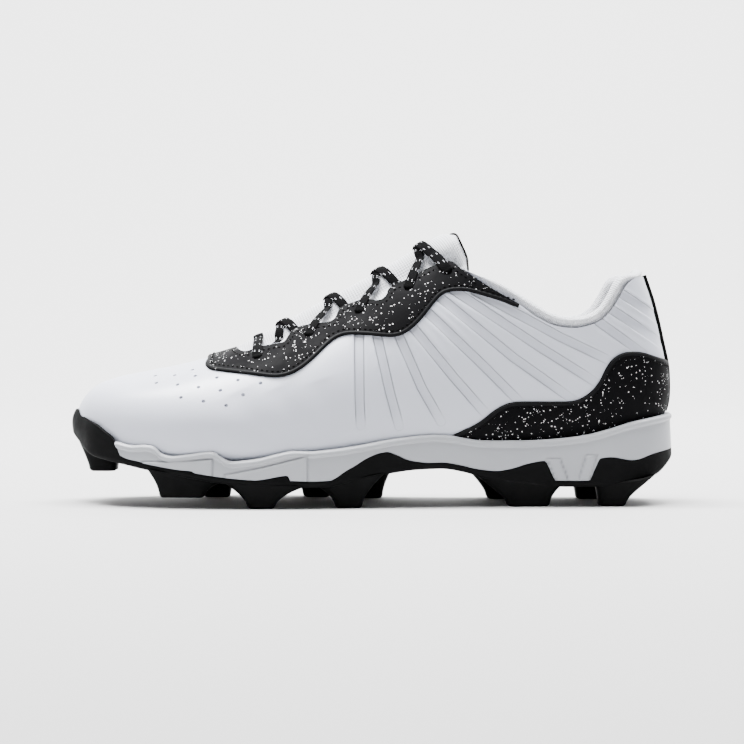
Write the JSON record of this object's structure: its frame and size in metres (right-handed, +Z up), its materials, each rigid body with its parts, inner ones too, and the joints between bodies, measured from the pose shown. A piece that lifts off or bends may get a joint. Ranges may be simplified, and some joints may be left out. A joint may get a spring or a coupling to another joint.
{
  "type": "baseball cleat",
  "caption": "Low-cut left baseball cleat with a moulded synthetic upper, speckled eyestay and heel counter, knit collar and tongue, and a rubber sole with moulded studs.",
  "frame": {"origin": "on the ground under the middle of the shoe", "axes": "+Z up, -X towards the toe, +X towards the heel, -Y the lateral side, +Y the medial side"},
  "size_m": [0.2997, 0.1039, 0.1332],
  "materials": {
    "synthetic_upper": "smooth white synthetic leather, satin",
    "speckled_film": "charcoal film with fine white speckle",
    "black_strip": "black woven strip",
    "white_knit": "white knit",
    "insole_foam": "cloth-faced foam",
    "grey_midsole": "light grey moulded midsole, matte",
    "black_rubber": "charcoal black moulded rubber",
    "black_lace": "black woven lace with rows of white dots"
  },
  "bodies": {
    "root": {"upper": "synthetic_upper", "eyestay": "speckled_film", "heel_counter": "speckled_film", "heel_strip": "black_strip", "collar": "white_knit", "tongue": "white_knit", "insole": "insole_foam", "midsole": "grey_midsole", "outsole": "black_rubber", "lace_bar": "black_lace", "lace_crossing_1": "black_lace", "lace_crossing_2": "black_lace", "lace_crossing_3": "black_lace", "lace_crossing_4": "black_lace"}
  },
  "joints": []
}
